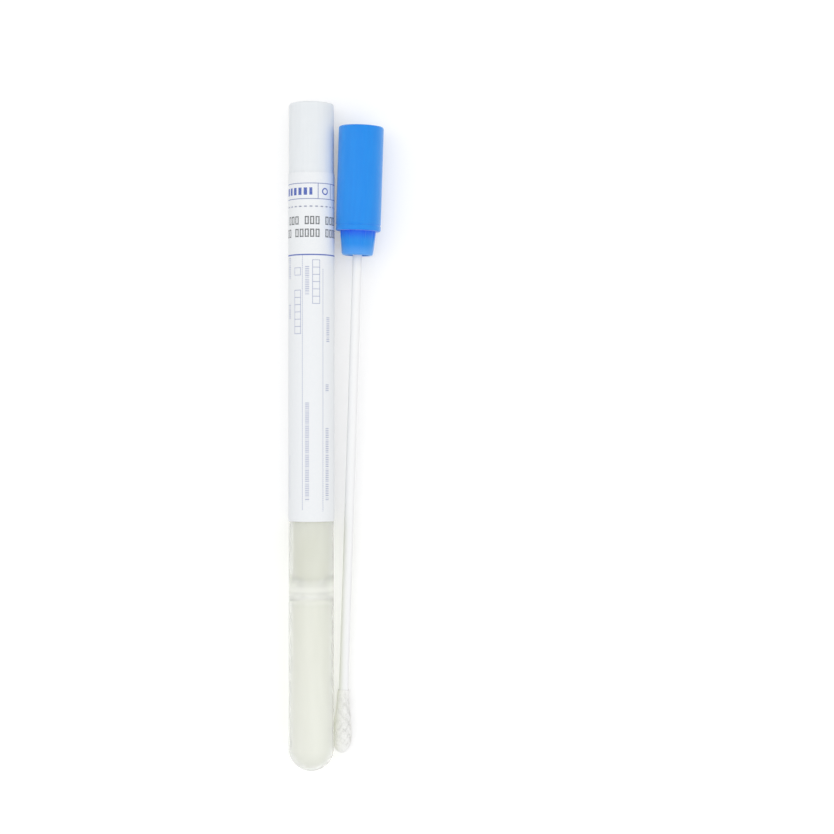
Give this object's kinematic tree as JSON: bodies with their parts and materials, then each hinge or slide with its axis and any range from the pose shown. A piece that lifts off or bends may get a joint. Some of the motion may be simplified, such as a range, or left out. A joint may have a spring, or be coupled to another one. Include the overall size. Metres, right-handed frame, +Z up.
{
  "type": "specimen swab tube",
  "caption": "Round-bottomed transport tube of gel with a push-in stopper and wrap label, lying beside the capped swab that goes into it.",
  "frame": {"origin": "middle of the set's box, on the surface it lies on", "axes": "+Y along the tube towards its mouth and stopper, +X from the tube towards the swab, +Z up"},
  "size_m": [0.0254, 0.1778, 0.0127],
  "materials": {
    "clear_plastic": "clear moulded plastic, smooth and slightly milky",
    "gel": "pale straw, half-clear soft gel",
    "label_paper": "white coated label paper with dark blue rules and tick boxes",
    "natural_plastic": "natural uncoloured plastic, milky and half-clear",
    "blue_plastic": "bright blue moulded plastic, satin",
    "white_plastic": "white plastic rod, satin",
    "fibre": "wound white fibre, matt"
  },
  "bodies": {
    "tube": {"tube": "clear_plastic", "transport_medium": "gel", "label": "label_paper", "applicator_cap": "blue_plastic", "shaft": "white_plastic", "swab_bud": "fibre"},
    "stopper": {"stopper": "natural_plastic", "seal_band": "label_paper"}
  },
  "joints": [
    {"name": "stopper_pull", "type": "slide", "parent": "tube", "child": "stopper", "axis": [0, 1, 0], "range_m": [0, 0.04]}
  ]
}
